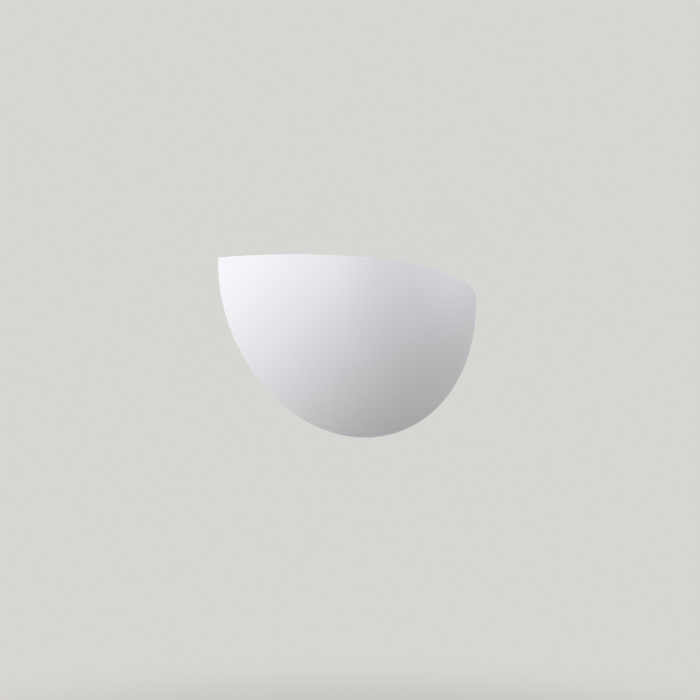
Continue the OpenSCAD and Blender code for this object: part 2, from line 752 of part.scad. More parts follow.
// ---- Lampholders ----
module holder() {
    color("linen") difference() {
        union() {
            rod_x(holder_face, holder_end, holder_r, lamp_out, lamp_z);
            section(holder_end - holder_foot_l, holder_end)
                translate([lamp_out - holder_foot_w / 2, lamp_z - holder_foot_drop])
                    square([holder_foot_w, holder_foot_drop]);
        }
        rod_x(0, cup_end, cup_r, lamp_out, lamp_z);
        rod_x(0, far, pin_r + run_clear, lamp_out, lamp_z);
        rod_x(chamber_start, chamber_end, chamber_r, lamp_out, lamp_z);
        rod_x(holder_end - holder_screw_grip - cut, far, holder_screw_r + run_clear, lamp_out,
            lamp_z - holder_screw_drop);
        translate([holder_face + 5, 0, 0]) difference() {
            rod_x(0, 1.2, far, lamp_out, lamp_z);
            rod_x(-cut, 3, holder_r - 0.6, lamp_out, lamp_z);
        }
    }
}
module holder_right() holder();
module holder_left() mirrored() holder();
module holder_screws() {
    color("silver") both_sides() translate([ear_in + bracket_wall, -lamp_out, lamp_z - holder_screw_drop])
        rotate([0, 90, 0]) {
            pan_head(holder_screw_head_r, holder_screw_head_h);
            translate([0, 0, -bracket_wall - holder_screw_grip])
                cylinder(h = bracket_wall + holder_screw_grip + holder_screw_head_h / 2, r = holder_screw_r);
        }
}
// A contact pin with a round nose that reaches into the lamp's recess
module contact_nose(x1) {
    nose = lamp_half + press_clear;
    rod_x(nose + pin_r, x1, pin_r, lamp_out, lamp_z);
    translate([nose + pin_r, -lamp_out, lamp_z]) sphere(pin_r);
}
module fixed_contact() {
    color("goldenrod") mirrored() {
        contact_nose(chamber_end - 1);
        rod_x(chamber_start + press_clear, chamber_end - press_clear, collar_r, lamp_out, lamp_z);
        rod_x(chamber_end - 1, tail_end, tail_r, lamp_out, lamp_z);
    }
}
collar_start = chamber_start + 0.1;
module sprung_contact() {
    color("goldenrod") {
        contact_nose(collar_start + collar_t);
        rod_x(collar_start, collar_start + collar_t, collar_r, lamp_out, lamp_z);
    }
}
seat_t = 0.8;
seat_start = chamber_end - seat_t - press_clear;
module spring_seat() {
    color("goldenrod") {
        rod_x(seat_start, chamber_end - press_clear, collar_r, lamp_out, lamp_z);
        rod_x(seat_start, tail_end, tail_r, lamp_out, lamp_z);
    }
}
// The spring is one unbroken wire between the sprung contact's collar and the seat
spring_r = collar_r - 0.3 - spring_wire / 2;
spring_x0 = collar_start + collar_t + spring_wire / 2 + 0.1;
spring_x1 = seat_start - spring_wire / 2 - 0.1;
turn_steps = 8;
function spring_point(i) =
    let (n = spring_turns * turn_steps, a = 360 * i / turn_steps)
    [spring_x0 + (spring_x1 - spring_x0) * i / n, -lamp_out + spring_r * cos(a), lamp_z + spring_r * sin(a)];
spring_path = [for (i = [0 : spring_turns * turn_steps]) spring_point(i)];
spring_gap = min([for (i = [0 : len(spring_path) - 1]) for (j = [i + turn_steps / 2 : 1 : len(spring_path) - 1])
    norm(spring_path[j] - spring_path[i])]) - spring_wire;
echo(contact_spring_least_gap = spring_gap);
module contact_spring() color("silver") tube(spring_path, spring_wire, 6, [1, 0, 0]);

// ---- Lamp ----
// A bar with round ends, turned about the lamp's axis
module turned_bar(half, r) translate([0, -lamp_out, lamp_z]) rotate([0, 90, 0]) rotate_extrude() intersection() {
    union() {
        for (s = [-1, 1]) translate([0, s * (half - r)]) circle(r);
        translate([0, r - half]) square([r, 2 * (half - r)]);
    }
    translate([0, -half]) square([r, 2 * half]);
}
// A flat bar along X, centred on the lamp's axis
module flat_bar(x0, x1, w, t) translate([x0, -lamp_out - w / 2, lamp_z - t / 2]) cube([x1 - x0, w, t]);
module lamp_tube() {
    color("azure") difference() {
        union() {
            turned_bar(tube_end, tube_r);
            both_sides() flat_bar(tube_end - pinch_root, tube_end + pinch_l, pinch_w, pinch_t);
            translate([0, -lamp_out, lamp_z]) cylinder(h = tube_r + pip_h, r = pip_r);
        }
        turned_bar(tube_end - tube_wall, tube_r - tube_wall);
        both_sides() flat_bar(tube_end - tube_wall - cut, tube_end + pinch_l + cut, foil_w, foil_t);
    }
}
// The coil's outside, its supports, and the foils that carry the current through the pinches
filament_half = tube_end - tube_r - 3;
coil_r = 0.8;
inner_wire_r = 0.3;
support_at = [-0.6 * filament_half, 0, 0.6 * filament_half];
support_r = tube_r - tube_wall - 0.4;
module lamp_filament() {
    color("dimgray") {
        rod_x(-filament_half, filament_half, coil_r, lamp_out, lamp_z);
        rod_x(-tube_end + foil_start, tube_end - foil_start, inner_wire_r, lamp_out, lamp_z);
        both_sides() {
            flat_bar(tube_end - foil_start, tube_end + pinch_l - 1, foil_w - 2 * press_clear, foil_t - 2 * press_clear);
            rod_x(tube_end + pinch_l - 1, lamp_half - 1, inner_wire_r / 2, lamp_out, lamp_z);
        }
        for (x = support_at) {
            translate([x, -lamp_out, lamp_z]) rotate([0, 90, 0]) rotate_extrude()
                translate([support_r, 0]) circle(0.25, $fn = 16);
            translate([x, -lamp_out, lamp_z]) cylinder(h = support_r, r = 0.2, $fn = 16);
        }
    }
}
module lamp_caps() {
    color("linen") both_sides() difference() {
        union() {
            rod_x(cap_end - cap_nose_l, cap_end, cap_r, lamp_out, lamp_z);
            translate([cap_start, -lamp_out - cap_body_w / 2, lamp_z - cap_body_t / 2])
                cube([cap_body_l, cap_body_w, cap_body_t]);
        }
        rod_x(lamp_half - 1, far, cap_r - 1.2, lamp_out, lamp_z);
        rod_x(0, far, inner_wire_r, lamp_out, lamp_z);
        translate([cap_start - cut, -lamp_out - pinch_w / 2 - 0.1, lamp_z - pinch_t / 2 - 0.1])
            cube([pinch_end - cap_start + cut + 0.1, pinch_w + 0.2, pinch_t + 0.2]);
    }
}
module lamp_contacts() {
    color("silver") both_sides() rod_x(lamp_half - 1, lamp_half, cap_r - 1.2 - press_clear, lamp_out, lamp_z);
}

shade();
hanger_left();
hanger_right();
lock_screw_left();
lock_screw_right();
lock_nuts();
wall_pan();
cover_spacers();
cover_plate();
cover_screws();
cable_grommet();
terminal_block();
terminal_tubes();
clamp_screws();
block_screws();
earth_screw();
earth_tag();
lead_live();
lead_neutral();
lead_earth();
lead_bushes();
lead_crimps();
lamp_bracket();
bracket_screws();
bracket_nuts();
reflector();
reflector_rivets();
holder_left();
holder_right();
holder_screws();
fixed_contact();
sprung_contact();
contact_spring();
spring_seat();
lamp_tube();
lamp_filament();
lamp_caps();
lamp_contacts();
glass_cover();
glass_clip_left();
glass_clip_right();
clip_rivets();
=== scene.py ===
import json
import math

import bmesh
import bpy
from mathutils import Matrix, Vector

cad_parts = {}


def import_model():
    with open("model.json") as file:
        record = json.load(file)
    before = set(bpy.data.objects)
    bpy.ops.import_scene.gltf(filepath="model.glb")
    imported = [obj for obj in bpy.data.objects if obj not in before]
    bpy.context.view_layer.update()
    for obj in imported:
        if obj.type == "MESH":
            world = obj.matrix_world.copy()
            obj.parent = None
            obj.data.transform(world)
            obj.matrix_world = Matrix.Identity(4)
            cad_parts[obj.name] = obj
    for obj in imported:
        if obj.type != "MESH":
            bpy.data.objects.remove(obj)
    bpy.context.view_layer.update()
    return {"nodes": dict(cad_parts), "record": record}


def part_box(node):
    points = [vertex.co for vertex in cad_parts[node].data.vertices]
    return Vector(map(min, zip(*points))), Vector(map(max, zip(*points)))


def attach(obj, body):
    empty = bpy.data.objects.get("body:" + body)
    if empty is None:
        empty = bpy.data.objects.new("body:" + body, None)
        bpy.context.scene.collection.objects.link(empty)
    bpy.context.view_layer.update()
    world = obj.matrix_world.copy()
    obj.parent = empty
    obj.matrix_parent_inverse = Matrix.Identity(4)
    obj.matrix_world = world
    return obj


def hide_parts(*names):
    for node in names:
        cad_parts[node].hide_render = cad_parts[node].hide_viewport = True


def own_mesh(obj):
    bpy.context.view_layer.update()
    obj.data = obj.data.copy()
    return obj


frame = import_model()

MM = 0.001

# ---------------------------------------------------------------- what the frame gives
record = frame["record"]
body_of = {node: body for body, nodes in record["behaviour"]["bodies"].items() for node in nodes}
slot_of = {part["node"]: part["material_slot"] for part in record["subparts"]}



def middle(node, axis):
    """The middle of a CAD node's box along one axis."""
    low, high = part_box(node)
    return low[axis] + (high[axis] - low[axis]) / 2


shade_low, shade_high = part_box("shade")
rim_z = shade_high.z
back_y = shade_high.y
front_y = shade_low.y
shade_r = shade_high.x
lamp_y = middle("holder_right", 1)
lamp_z = middle("lamp_filament", 2)

# sizes that the frame's boxes don't give
CROWN_R = 168 * MM
CROWN_ANGLE = math.radians(28)
SHADE_WALL = 1.5 * MM
SHADE_EDGE_R = 0.4 * MM
HEM_W = 14 * MM
SEAT_ABOVE_LAMP = 14.8  # mm, from the lamp's axis up to the ledge that the glass lies on


# ---------------------------------------------------------------- colours and node helper
def linear(code):
    """An sRGB hex colour as linear RGBA."""
    parts = [int(code[i:i + 2], 16) / 255 for i in (0, 2, 4)]
    return [c / 12.92 if c <= 0.04045 else ((c + 0.055) / 1.055) ** 2.4 for c in parts] + [1.0]


def add(tree, kind, inputs=None, **settings):
    """A node with its settings; each input takes a value or another node's output."""
    node = tree.nodes.new("ShaderNode" + kind)
    for name, value in settings.items():
        setattr(node, name, value)
    for name, value in (inputs or {}).items():
        if isinstance(value, bpy.types.NodeSocket):
            tree.links.new(value, node.inputs[name])
        else:
            node.inputs[name].default_value = value
    return node


def surface(name, code, roughness, metallic=0.0, **more):
    """A new material and its Principled shader, with the values that are the same all over."""
    made = bpy.data.materials.new(name)
    made.use_nodes = True
    shader = made.node_tree.nodes["Principled BSDF"]
    shader.inputs["Base Color"].default_value = linear(code)
    shader.inputs["Roughness"].default_value = roughness
    shader.inputs["Metallic"].default_value = metallic
    for socket, value in more.items():
        shader.inputs[socket.replace("_", " ")].default_value = value
    return made, shader


def placed(tree, stretch=(1, 1, 1)):
    """Object coordinates, stretched along the axes."""
    coords = add(tree, "TexCoord")
    return add(tree, "Mapping", {"Vector": coords.outputs["Object"], "Scale": stretch}).outputs["Vector"]


def clouds(tree, size_mm, stretch=(1, 1, 1), detail=3.0, rough=0.5):
    """Noise whose blotches are about size_mm across."""
    noise = add(tree, "TexNoise", {
        "Vector": placed(tree, stretch), "Scale": 1 / (size_mm * MM), "Detail": detail, "Roughness": rough})
    return noise.outputs["Fac"]


def spread(tree, fac, low, high, between=(0.3, 0.7)):
    """A pattern's value turned into the range from low to high."""
    return add(tree, "MapRange", {
        "Value": fac, "From Min": between[0], "From Max": between[1], "To Min": low, "To Max": high,
    }).outputs["Result"]


def tint(tree, fac, first, second, between=(0.3, 0.7)):
    """A colour between two hex colours, chosen by a pattern."""
    ramp = add(tree, "ValToRGB", {"Fac": fac})
    ramp.color_ramp.elements[0].position = between[0]
    ramp.color_ramp.elements[0].color = linear(first)
    ramp.color_ramp.elements[1].position = between[1]
    ramp.color_ramp.elements[1].color = linear(second)
    return ramp.outputs["Color"]


def relief(tree, shader, height, depth_mm, strength=1.0):
    """Bump of a real depth on a shader."""
    bump = add(tree, "Bump", {"Height": height, "Distance": depth_mm * MM, "Strength": strength})
    tree.links.new(bump.outputs["Normal"], shader.inputs["Normal"])


def feed(tree, output, shader, socket):
    tree.links.new(output, shader.inputs[socket])


# ---------------------------------------------------------------- materials
def powder_coat():
    """Polyester powder coat on steel: matt white, faintly cool, with a fine orange peel."""
    made, shader = surface("white_powder_coat", "E8E9EE", 0.58)
    tree = made.node_tree
    feed(tree, tint(tree, clouds(tree, 45, detail=2.0), "E7E8ED", "E9EAEF"), shader, "Base Color")
    feed(tree, spread(tree, clouds(tree, 9), 0.54, 0.63), shader, "Roughness")
    relief(tree, shader, clouds(tree, 1.6, detail=1.0), 0.012)
    return made


def rolled_aluminium():
    """Bright rolled and anodised reflector aluminium: fine rolling lines along the trough."""
    made, shader = surface("bright_aluminium", "DFE0E1", 0.2, 1.0)
    tree = made.node_tree
    lines = clouds(tree, 0.5, stretch=(0.02, 1, 1), detail=4.0)
    feed(tree, tint(tree, clouds(tree, 18), "D6D8DA", "E4E5E5"), shader, "Base Color")
    feed(tree, spread(tree, lines, 0.16, 0.3), shader, "Roughness")
    relief(tree, shader, lines, 0.002)
    return made


def zinc_plate():
    """Bright zinc plate on steel: bluish grey with faint clouds of straw and blue, and fine handling scratches."""
    made, shader = surface("zinc_plate", "B9BDC2", 0.34, 1.0)
    tree = made.node_tree
    scratches = clouds(tree, 0.7, stretch=(1, 0.05, 0.3), detail=5.0)
    feed(tree, tint(tree, clouds(tree, 7, detail=4.0), "B0B6BF", "C4C3BC"), shader, "Base Color")
    feed(tree, spread(tree, scratches, 0.27, 0.43), shader, "Roughness")
    relief(tree, shader, scratches, 0.008)
    return made


def nickel_plate():
    """Bright nickel over brass: warm silver, with turning lines that are too fine to feel."""
    made, shader = surface("nickel_plate", "D3CEC2", 0.2, 1.0)
    tree = made.node_tree
    feed(tree, tint(tree, clouds(tree, 3), "CCC6B8", "DBD7CD"), shader, "Base Color")
    feed(tree, spread(tree, clouds(tree, 0.5, stretch=(6, 1, 1)), 0.15, 0.28), shader, "Roughness")
    relief(tree, shader, clouds(tree, 0.6, stretch=(8, 1, 1)), 0.004)
    return made


def plain_brass():
    """Unplated machined brass: yellow, a little dulled in blotches, with turning marks."""
    made, shader = surface("machined_brass", "C9A35A", 0.3, 1.0)
    tree = made.node_tree
    feed(tree, tint(tree, clouds(tree, 4, detail=4.0), "B98F4B", "D8B56C"), shader, "Base Color")
    feed(tree, spread(tree, clouds(tree, 2), 0.22, 0.42), shader, "Roughness")
    relief(tree, shader, clouds(tree, 0.4, stretch=(1, 1, 6)), 0.008)
    return made


def stainless_spring():
    """Cold-drawn stainless spring steel: grey, smooth, with faint lines along the wire or strip."""
    made, shader = surface("spring_stainless", "B7B8B9", 0.26, 1.0)
    tree = made.node_tree
    feed(tree, tint(tree, clouds(tree, 2.5), "ABADB0", "C3C3C1"), shader, "Base Color")
    feed(tree, spread(tree, clouds(tree, 0.6, stretch=(1, 1, 0.08)), 0.2, 0.36), shader, "Roughness")
    relief(tree, shader, clouds(tree, 0.5, stretch=(1, 1, 0.08)), 0.005)
    return made


def tinned_copper():
    """Hot-tinned copper: soft silver with slow ripples where the tin ran."""
    made, shader = surface("tinned_copper", "C8C4BD", 0.36, 1.0)
    tree = made.node_tree
    feed(tree, tint(tree, clouds(tree, 3), "BDB6AA", "D0CDC8"), shader, "Base Color")
    feed(tree, spread(tree, clouds(tree, 1.5), 0.28, 0.46), shader, "Roughness")
    relief(tree, shader, clouds(tree, 1.8), 0.03)
    return made


def steatite():
    """Pressed and fired steatite, unglazed: creamy white, dense, with tiny grey and tan specks."""
    made, shader = surface("steatite_ceramic", "E9E3D6", 0.5)
    tree = made.node_tree
    specks = add(tree, "TexVoronoi", {"Vector": placed(tree), "Scale": 1 / (1.4 * MM)})
    dots = spread(tree, specks.outputs["Distance"], 1.0, 0.0, (0.05, 0.16))
    body = tint(tree, clouds(tree, 12), "E5DED0", "EEE9DE")
    mixed = add(tree, "Mix", {0: dots, 6: body, 7: linear("BFB29D")}, data_type="RGBA")
    feed(tree, mixed.outputs[2], shader, "Base Color")
    feed(tree, spread(tree, clouds(tree, 3), 0.42, 0.6), shader, "Roughness")
    relief(tree, shader, clouds(tree, 0.8, detail=5.0), 0.02)
    return made


def moulded(name, light, dark, roughness, grain_mm, depth_mm):
    """A moulded polymer or rubber: two near colours in slow clouds and a fine mould grain."""
    made, shader = surface(name, light, roughness)
    tree = made.node_tree
    feed(tree, tint(tree, clouds(tree, 14), dark, light), shader, "Base Color")
    feed(tree, spread(tree, clouds(tree, 2.5), roughness - 0.06, roughness + 0.07), shader, "Roughness")
    relief(tree, shader, clouds(tree, grain_mm, detail=4.0), depth_mm)
    return made


def earth_sleeve():
    """Green silicone sleeve with a yellow stripe that runs along it on both sides."""
    made, shader = surface("earth_sleeve", "4E8A2E", 0.5)
    tree = made.node_tree
    coords = add(tree, "TexCoord")
    axes = add(tree, "SeparateXYZ", {"Vector": coords.outputs["Object"]})
    stripe = add(tree, "Math", {0: axes.outputs["X"]}, operation="ABSOLUTE").outputs["Value"]
    feed(tree, tint(tree, spread(tree, stripe, 0.0, 1.0, (0.0, 0.0011)), "E3C62F", "3F7A2B", (0.42, 0.5)),
         shader, "Base Color")
    relief(tree, shader, clouds(tree, 0.5, detail=3.0), 0.01)
    return made


def quartz():
    """Clear fused quartz: colourless, with the faint draw lines of the tube along its length."""
    made, shader = surface("fused_quartz", "F8FAFC", 0.02, IOR=1.458, Transmission_Weight=1.0)
    tree = made.node_tree
    feed(tree, spread(tree, clouds(tree, 6, stretch=(0.1, 1, 1)), 0.01, 0.05), shader, "Roughness")
    relief(tree, shader, clouds(tree, 1.2, stretch=(0.03, 1, 1), detail=1.0), 0.006)
    return made


def cover_glass():
    """Toughened soda-lime glass: clear, faintly green, with a trace of roller wave."""
    made, shader = surface("toughened_glass", "F5FAF7", 0.02, IOR=1.52, Transmission_Weight=1.0)
    tree = made.node_tree
    feed(tree, spread(tree, clouds(tree, 20), 0.01, 0.04), shader, "Roughness")
    relief(tree, shader, clouds(tree, 30, detail=0.0), 0.01)
    return made


def ground_glass():
    """The cover glass's ground and arrissed edge: frosted, and greener because it is seen along the sheet."""
    made, shader = surface("ground_glass_edge", "C4DACF", 0.45, IOR=1.52, Transmission_Weight=0.6)
    tree = made.node_tree
    feed(tree, spread(tree, clouds(tree, 0.8), 0.35, 0.6), shader, "Roughness")
    relief(tree, shader, clouds(tree, 0.4, detail=4.0), 0.02)
    return made


def glowing_tungsten():
    """Coiled tungsten at about 2900 K: warm white where it glows, dull grey wire underneath."""
    made, shader = surface("tungsten_coil", "57524E", 0.5, 1.0, Emission_Strength=5.0)
    tree = made.node_tree
    feed(tree, tint(tree, clouds(tree, 2.0), "FFBE78", "FFD39F"), shader, "Emission Color")
    return made


def molybdenum():
    """Etched molybdenum foil and drawn wire: dark silver with a fine matt grain."""
    made, shader = surface("molybdenum_foil", "8E8B87", 0.42, 1.0)
    tree = made.node_tree
    feed(tree, tint(tree, clouds(tree, 1.2), "817E7A", "9A9793"), shader, "Base Color")
    feed(tree, spread(tree, clouds(tree, 0.6), 0.34, 0.52), shader, "Roughness")
    relief(tree, shader, clouds(tree, 0.4), 0.006)
    return made


FINISHES = {
    "white_paint": powder_coat(),
    "bright_steel": nickel_plate(),
    "zinc_steel": zinc_plate(),
    "grommet_rubber": moulded("grommet_rubber", "232324", "1B1B1C", 0.62, 0.6, 0.02),
    "terminal_plastic": moulded("natural_polyamide", "E6E1D2", "DDD7C6", 0.42, 0.7, 0.012),
    "brass": plain_brass(),
    "tinned_copper": tinned_copper(),
    "brown_sleeve": moulded("brown_silicone_sleeve", "5E3A26", "503020", 0.5, 0.5, 0.01),
    "blue_sleeve": moulded("blue_silicone_sleeve", "2F62A3", "28568F", 0.5, 0.5, 0.01),
    "earth_sleeve": earth_sleeve(),
    "silicone": moulded("white_silicone_rubber", "DCDAD3", "D2CFC7", 0.55, 0.8, 0.015),
    "bright_aluminium": rolled_aluminium(),
    "white_ceramic": steatite(),
    "nickel": nickel_plate(),
    "spring_steel": stainless_spring(),
    "quartz": quartz(),
    "tungsten": glowing_tungsten(),
    "clear_glass": cover_glass(),
}


# ---------------------------------------------------------------- modelling helpers
def deselect():
    if bpy.context.object and bpy.context.object.mode != "OBJECT":
        bpy.ops.object.mode_set(mode="OBJECT")
    bpy.ops.object.select_all(action="DESELECT")


def hold(piece):
    """Makes a piece the only one selected."""
    deselect()
    piece.select_set(True)
    bpy.context.view_layer.objects.active = piece


def pick(piece, test, kind="FACE"):
    """In edit mode, selects the faces, edges or vertices whose place and normal pass a test."""
    bpy.ops.mesh.select_mode(type=kind)
    bpy.ops.mesh.select_all(action="DESELECT")
    grid = bmesh.from_edit_mesh(piece.data)
    for part in {"FACE": grid.faces, "EDGE": grid.edges, "VERT": grid.verts}[kind]:
        if kind == "FACE":
            chosen = test(part.calc_center_median(), part.normal)
        elif kind == "EDGE":
            chosen = test((part.verts[0].co + part.verts[1].co) / 2, part.verts[1].co - part.verts[0].co)
        else:
            chosen = test(part.co, part.normal)
        if chosen:
            part.select_set(True)
    grid.select_flush_mode()
    bmesh.update_edit_mesh(piece.data)


def applied(piece, kind, **settings):
    """Adds a modifier and applies it."""
    hold(piece)
    modifier = piece.modifiers.new(kind.lower(), kind)
    for name, value in settings.items():
        setattr(modifier, name, value)
    bpy.ops.object.modifier_apply(modifier=modifier.name)


def smoothed(piece, degrees=35):
    """Smooth shading up to an angle, led by the large faces, so that flat ones stay flat beside rounded edges."""
    hold(piece)
    bpy.ops.object.shade_smooth_by_angle(angle=math.radians(degrees))
    applied(piece, "WEIGHTED_NORMAL", keep_sharp=True)


def rounded(piece, width, steps=2, degrees=35):
    """Rounds every edge that is sharper than an angle."""
    applied(piece, "BEVEL", width=width, segments=steps, limit_method="ANGLE",
            angle_limit=math.radians(degrees), use_clamp_overlap=True)


def settled(piece):
    """Puts a piece's place into its mesh, and its object at the origin."""
    hold(piece)
    bpy.ops.object.transform_apply(location=True, rotation=True, scale=True)


def fitted(piece, nodes):
    """A finished piece stands for its CAD nodes, rides on their body and takes their material."""
    settled(piece)
    slot = slot_of[nodes[0]]
    if not piece.data.materials:
        piece.data.materials.append(FINISHES[slot])
    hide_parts(*nodes)
    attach(piece, body_of[nodes[0]])
    return piece


def wire(name, points):
    """A line of edges through points, left in edit mode: one vertex that is extruded from point to point."""
    deselect()
    bpy.ops.mesh.primitive_plane_add(size=MM, location=(0, 0, 0))
    piece = bpy.context.object
    piece.name = name
    bpy.ops.object.mode_set(mode="EDIT")
    bpy.ops.mesh.select_mode(type="VERT")
    bpy.ops.mesh.select_all(action="SELECT")
    bpy.ops.mesh.merge(type="CENTER")
    bpy.ops.transform.translate(value=points[0])
    for start, end in zip(points, points[1:]):
        bpy.ops.mesh.extrude_vertices_move(TRANSFORM_OT_translate={"value": Vector(end) - Vector(start)})
    return piece


def arc(centre, radius, first, last, steps):
    """Points on an arc in a plane, with angles from the second axis towards the first."""
    return [(centre[0] + radius * math.sin(first + (last - first) * i / steps),
             centre[1] + radius * math.cos(first + (last - first) * i / steps)) for i in range(steps + 1)]


# ---------------------------------------------------------------- shade
def shade():
    """A pressed half dome: a crown and a flatter skirt on one smooth profile, its back edge hemmed inwards."""
    depth = back_y - front_y
    crown_centre = Vector((0, depth - CROWN_R))
    to_edge = Vector((shade_r, 0)) - crown_centre
    way = Vector((math.sin(CROWN_ANGLE), math.cos(CROWN_ANGLE)))
    extra = (to_edge.dot(to_edge) - CROWN_R ** 2) / (2 * (CROWN_R - to_edge.dot(way)))
    skirt_centre = crown_centre - extra * way
    edge_angle = math.atan2(shade_r - skirt_centre.x, -skirt_centre.y)
    profile = arc(crown_centre, CROWN_R, 0, CROWN_ANGLE, 24)
    profile += arc(skirt_centre, CROWN_R + extra, CROWN_ANGLE, edge_angle, 30)[1:]
    profile += [(shade_r - HEM_W * part, 0) for part in (0.15, 0.5, 0.85, 1)]
    piece = wire("dome_shade", [(r, back_y - out, rim_z) for r, out in profile])
    bpy.ops.mesh.select_all(action="SELECT")
    bpy.ops.mesh.spin(steps=192, angle=-math.pi, center=(0, 0, rim_z), axis=(0, 1, 0))
    bpy.ops.mesh.select_all(action="SELECT")
    bpy.ops.mesh.remove_doubles(threshold=0.01 * MM)
    bpy.ops.mesh.normals_make_consistent(inside=False)
    bpy.ops.object.mode_set(mode="OBJECT")
    applied(piece, "SOLIDIFY", thickness=SHADE_WALL, offset=-1, use_even_offset=True)
    rounded(piece, SHADE_EDGE_R, 3, 40)
    smoothed(piece, 45)
    fitted(piece, ["shade"])


# ---------------------------------------------------------------- shared ways of making a piece
def joined(first, *others):
    """Several pieces as one mesh."""
    deselect()
    for piece in (first, *others):
        piece.select_set(True)
    bpy.context.view_layer.objects.active = first
    bpy.ops.object.join()
    return first


def outwards(piece):
    """Merges doubles and points every face outwards."""
    hold(piece)
    bpy.ops.object.mode_set(mode="EDIT")
    bpy.ops.mesh.select_all(action="SELECT")
    bpy.ops.mesh.remove_doubles(threshold=0.002 * MM)
    bpy.ops.mesh.normals_make_consistent(inside=False)
    bpy.ops.object.mode_set(mode="OBJECT")


def bends(path, radius, steps=5):
    """A path whose inner corners are arcs of one radius."""
    out = [Vector(path[0])]
    for before, corner, after in zip(path, path[1:], path[2:]):
        corner = Vector(corner)
        back, on = (Vector(before) - corner).normalized(), (Vector(after) - corner).normalized()
        half = back.angle(on) / 2
        centre = corner + (back + on).normalized() * radius / math.sin(half)
        first = (corner + back * radius / math.tan(half) - centre).normalized()
        last = (corner + on * radius / math.tan(half) - centre).normalized()
        out += [centre + first.slerp(last, i / steps) * radius for i in range(steps + 1)]
    return out + [Vector(path[-1])]


def bent_sheet(name, path, radius, place, run, thickness, side):
    """A bent strip: a path with rounded corners, drawn as edges, run out to its width and thickened to one side."""
    piece = wire(name, [place(*point) for point in bends(path, radius)])
    bpy.ops.mesh.select_all(action="SELECT")
    bpy.ops.mesh.extrude_edges_move(TRANSFORM_OT_translate={"value": run})
    bpy.ops.object.mode_set(mode="OBJECT")
    applied(piece, "SOLIDIFY", thickness=thickness, offset=side, use_even_offset=True)
    outwards(piece)
    return piece


def plate(name, outline, run):
    """A flat piece: a closed outline filled with one face and pulled out to its thickness."""
    piece = wire(name, outline)
    bpy.ops.mesh.select_all(action="SELECT")
    bpy.ops.mesh.edge_face_add()
    bpy.ops.mesh.extrude_region_move(TRANSFORM_OT_translate={"value": run})
    bpy.ops.object.mode_set(mode="OBJECT")
    outwards(piece)
    return piece


def coil(name, radius, wire_r, start, end, turns, steps, sides):
    """A wire wound round an axis along X: a small ring swept by the Screw modifier, its ends closed."""
    deselect()
    bpy.ops.mesh.primitive_circle_add(vertices=sides, radius=wire_r, rotation=(0, 0, 0), location=(0, radius, 0))
    piece = bpy.context.object
    piece.name = name
    settled(piece)
    applied(piece, "SCREW", axis="X", angle=math.tau, screw_offset=(end[0] - start[0]) / turns,
            iterations=turns, steps=steps, render_steps=steps, use_merge_vertices=False)
    bpy.ops.object.mode_set(mode="EDIT")
    bpy.ops.mesh.select_mode(type="EDGE")
    bpy.ops.mesh.select_all(action="DESELECT")
    bpy.ops.mesh.select_non_manifold(extend=False)
    bpy.ops.mesh.edge_face_add()
    bpy.ops.object.mode_set(mode="OBJECT")
    piece.location = start
    settled(piece)
    outwards(piece)
    return piece


def bar(name, start, end, radius, sides=16):
    """A round bar with softened ends between two points."""
    deselect()
    way = Vector(end) - Vector(start)
    bpy.ops.mesh.primitive_cylinder_add(vertices=sides, radius=radius, depth=way.length,
                                        location=(Vector(start) + Vector(end)) / 2,
                                        rotation=way.to_track_quat("Z", "Y").to_euler())
    piece = bpy.context.object
    piece.name = name
    settled(piece)
    rounded(piece, radius / 4, 2, 60)
    return piece


def block(name, low, high, ease):
    """A box between two corners with rounded edges."""
    low, high = Vector(low), Vector(high)
    deselect()
    bpy.ops.mesh.primitive_cube_add(size=1, location=(low + high) / 2, scale=high - low)
    piece = bpy.context.object
    piece.name = name
    settled(piece)
    rounded(piece, ease, 2, 60)
    return piece


def mirrored(piece, name):
    """A copy on the other side of the middle, with its own mesh."""
    hold(piece)
    bpy.ops.object.duplicate()
    copy = bpy.context.object
    copy.name = name
    bpy.ops.transform.mirror(constraint_axis=(True, False, False), center_override=(0, 0, 0))
    settled(copy)
    outwards(copy)
    return copy


def flow(points, steps):
    """The smooth route through listed points that the solid follows too."""
    out = []
    for i in range(len(points) - 1):
        a, b, c, d = (Vector(points[min(max(k, 0), len(points) - 1)]) for k in (i - 1, i, i + 1, i + 2))
        for s in range(steps):
            t = s / steps
            out.append(0.5 * (2 * b + (c - a) * t + (2 * a - 5 * b + 4 * c - d) * t * t
                              + (3 * b - a - 3 * c + d) * t ** 3))
    return out + [Vector(points[-1])]


def cable(name, points, radius):
    """An insulated wire along a route: a drawn line made a curve, given its roundness and made a mesh."""
    piece = wire(name, flow([Vector(point) * MM for point in points], 9))
    bpy.ops.object.mode_set(mode="OBJECT")
    hold(piece)
    bpy.ops.object.convert(target="CURVE")
    piece = bpy.context.object
    piece.data.bevel_depth = radius
    piece.data.bevel_resolution = 3
    piece.data.use_fill_caps = True
    bpy.ops.object.convert(target="MESH")
    piece = bpy.context.object
    outwards(piece)
    smoothed(piece, 50)
    return piece


# ---------------------------------------------------------------- lamp
# how far along from the middle, half width and half height of the tube, in mm
TUBE_OUTSIDE = [(0, 5, 5), (36, 5, 5), (37.6, 4.97, 4.85), (39, 4.85, 4.35), (40.2, 4.6, 3.6), (41.2, 4.35, 2.8),
                (42, 4.15, 2.15), (42.9, 4, 1.75), (44, 4, 1.6), (51.3, 4, 1.6), (51.8, 3.7, 1.3)]
TUBE_INSIDE = [(0, 4, 4), (35.4, 4, 4), (37, 3.9, 3.8), (38.6, 3.6, 3.2), (39.8, 3.1, 2.3), (40.8, 2.5, 1.3),
               (41.5, 1.8, 0.6)]
PINCH_START = 41.9 * MM
PINCH_HALF = 1.1 * MM
PIP_R = 1.2 * MM


